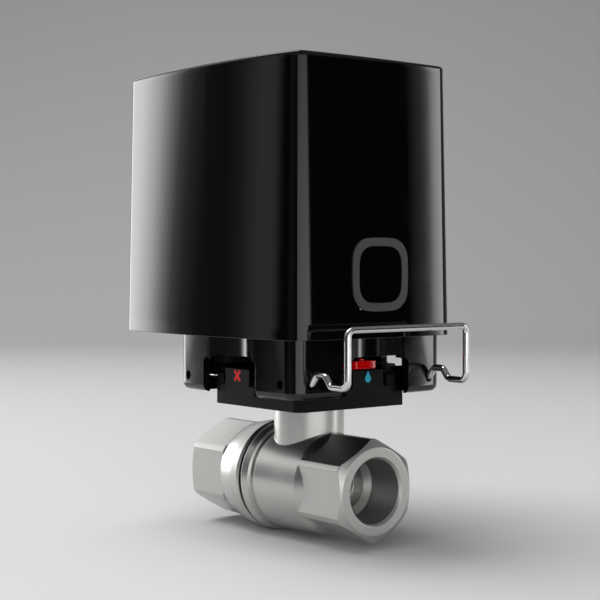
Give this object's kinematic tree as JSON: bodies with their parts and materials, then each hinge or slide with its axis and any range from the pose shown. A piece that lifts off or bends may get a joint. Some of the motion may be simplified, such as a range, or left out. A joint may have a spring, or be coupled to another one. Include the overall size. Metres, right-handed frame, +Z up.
{
  "type": "motorised smart water valve",
  "caption": "Battery motor drive in a tall glossy housing on a brass ball valve with female threaded ports, with a pull-out wire clip and a front push button.",
  "frame": {"origin": "centre of the ball, where the pipe line crosses the stem axis", "axes": "+X along the pipe towards the near port and the button face, +Z up the stem into the drive housing"},
  "size_m": [0.1038, 0.0674, 0.141],
  "materials": {
    "nickel_plated_brass": "satin nickel plate",
    "chromed_brass": "polished",
    "stem_brass": "turned",
    "clip_wire": "bright spring wire",
    "screw_steel": "zinc plated",
    "motor_steel": "plain can",
    "plate_steel": "pressed sheet",
    "cover_gloss_black": "high gloss",
    "base_gloss_black": "gloss",
    "adapter_black": "satin",
    "button_ring_grey": "light guide, unlit",
    "sign_blue": "inlay",
    "sign_red": "inlay",
    "ring_red": "gloss",
    "seat_ptfe": "PTFE",
    "seal_rubber": "matte",
    "gear_plastic": "acetal",
    "switch_white": "satin",
    "board_green": "laminate",
    "shield_can": "tinned",
    "led_white": "clear",
    "holder_black": "satin",
    "cell_blue": "plain sleeve",
    "contact_gold": "plated"
  },
  "bodies": {
    "housing": {"valve_body": "nickel_plated_brass", "end_retainer": "nickel_plated_brass", "retainer_gasket": "seal_rubber", "near_seat": "seat_ptfe", "far_seat": "seat_ptfe", "stem_thrust_washer": "seat_ptfe", "adapter": "adapter_black", "adapter_circlip": "screw_steel", "open_sign": "sign_blue", "closed_sign": "sign_red", "base": "base_gloss_black", "shaft_seal": "seal_rubber", "limit_switches": "holder_black", "cover_gasket": "seal_rubber", "cover": "cover_gloss_black", "cover_screws": "screw_steel", "button_ring": "button_ring_grey", "button_switch": "holder_black", "circuit_board": "board_green", "board_screws": "screw_steel", "radio_module": "shield_can", "indicator_leds": "led_white", "idler_pins": "screw_steel", "gearbox_plate": "plate_steel", "gearbox_screws": "screw_steel", "motor": "motor_steel", "motor_screws": "screw_steel", "battery_holder": "holder_black", "battery_cells": "cell_blue", "battery_contacts": "contact_gold", "battery_lid": "holder_black"},
    "drive": {"ball": "chromed_brass", "stem": "stem_brass", "stem_o_rings": "seal_rubber", "position_ring": "ring_red", "output_gear": "gear_plastic"},
    "idler_a": {"idler_gear_a": "gear_plastic"},
    "idler_b": {"idler_gear_b": "gear_plastic"},
    "motor_rotor": {"motor_pinion": "stem_brass"},
    "push_button": {"button": "cover_gloss_black", "switch_plunger": "switch_white"},
    "clip": {"retaining_clip": "clip_wire"}
  },
  "joints": [
    {"name": "valve_turn", "type": "hinge", "parent": "housing", "child": "drive", "pos_m": [0, 0, 0.05], "axis": [0, 0, 1], "range_deg": [-90, 0]},
    {"name": "idler_a_spin", "type": "hinge", "parent": "housing", "child": "idler_a", "pos_m": [-0.01724, 0.01499, 0.05], "axis": [0, 0, 1], "range_deg": [0, 338.5]},
    {"name": "idler_b_spin", "type": "hinge", "parent": "housing", "child": "idler_b", "pos_m": [-0.0324, 0.01107, 0.05], "axis": [0, 0, 1], "range_deg": [-1126, 0]},
    {"name": "motor_spin", "type": "hinge", "parent": "housing", "child": "motor_rotor", "pos_m": [-0.04272, 0.00487, 0.05], "axis": [0, 0, 1], "range_deg": [0, 3376]},
    {"name": "button_press", "type": "slide", "parent": "housing", "child": "push_button", "axis": [-1, 0, 0], "range_m": [0, 0.0008], "stiffness_N_per_m": 1500, "springref_m": -0.0006},
    {"name": "clip_pull", "type": "slide", "parent": "housing", "child": "clip", "axis": [1, 0, 0], "range_m": [0, 0.053]}
  ],
  "couplings": [
    {"joint": "idler_a_spin", "follows": "valve_turn", "ratio": -3.75},
    {"joint": "idler_b_spin", "follows": "valve_turn", "ratio": 12.5},
    {"joint": "motor_spin", "follows": "valve_turn", "ratio": -37.5}
  ]
}
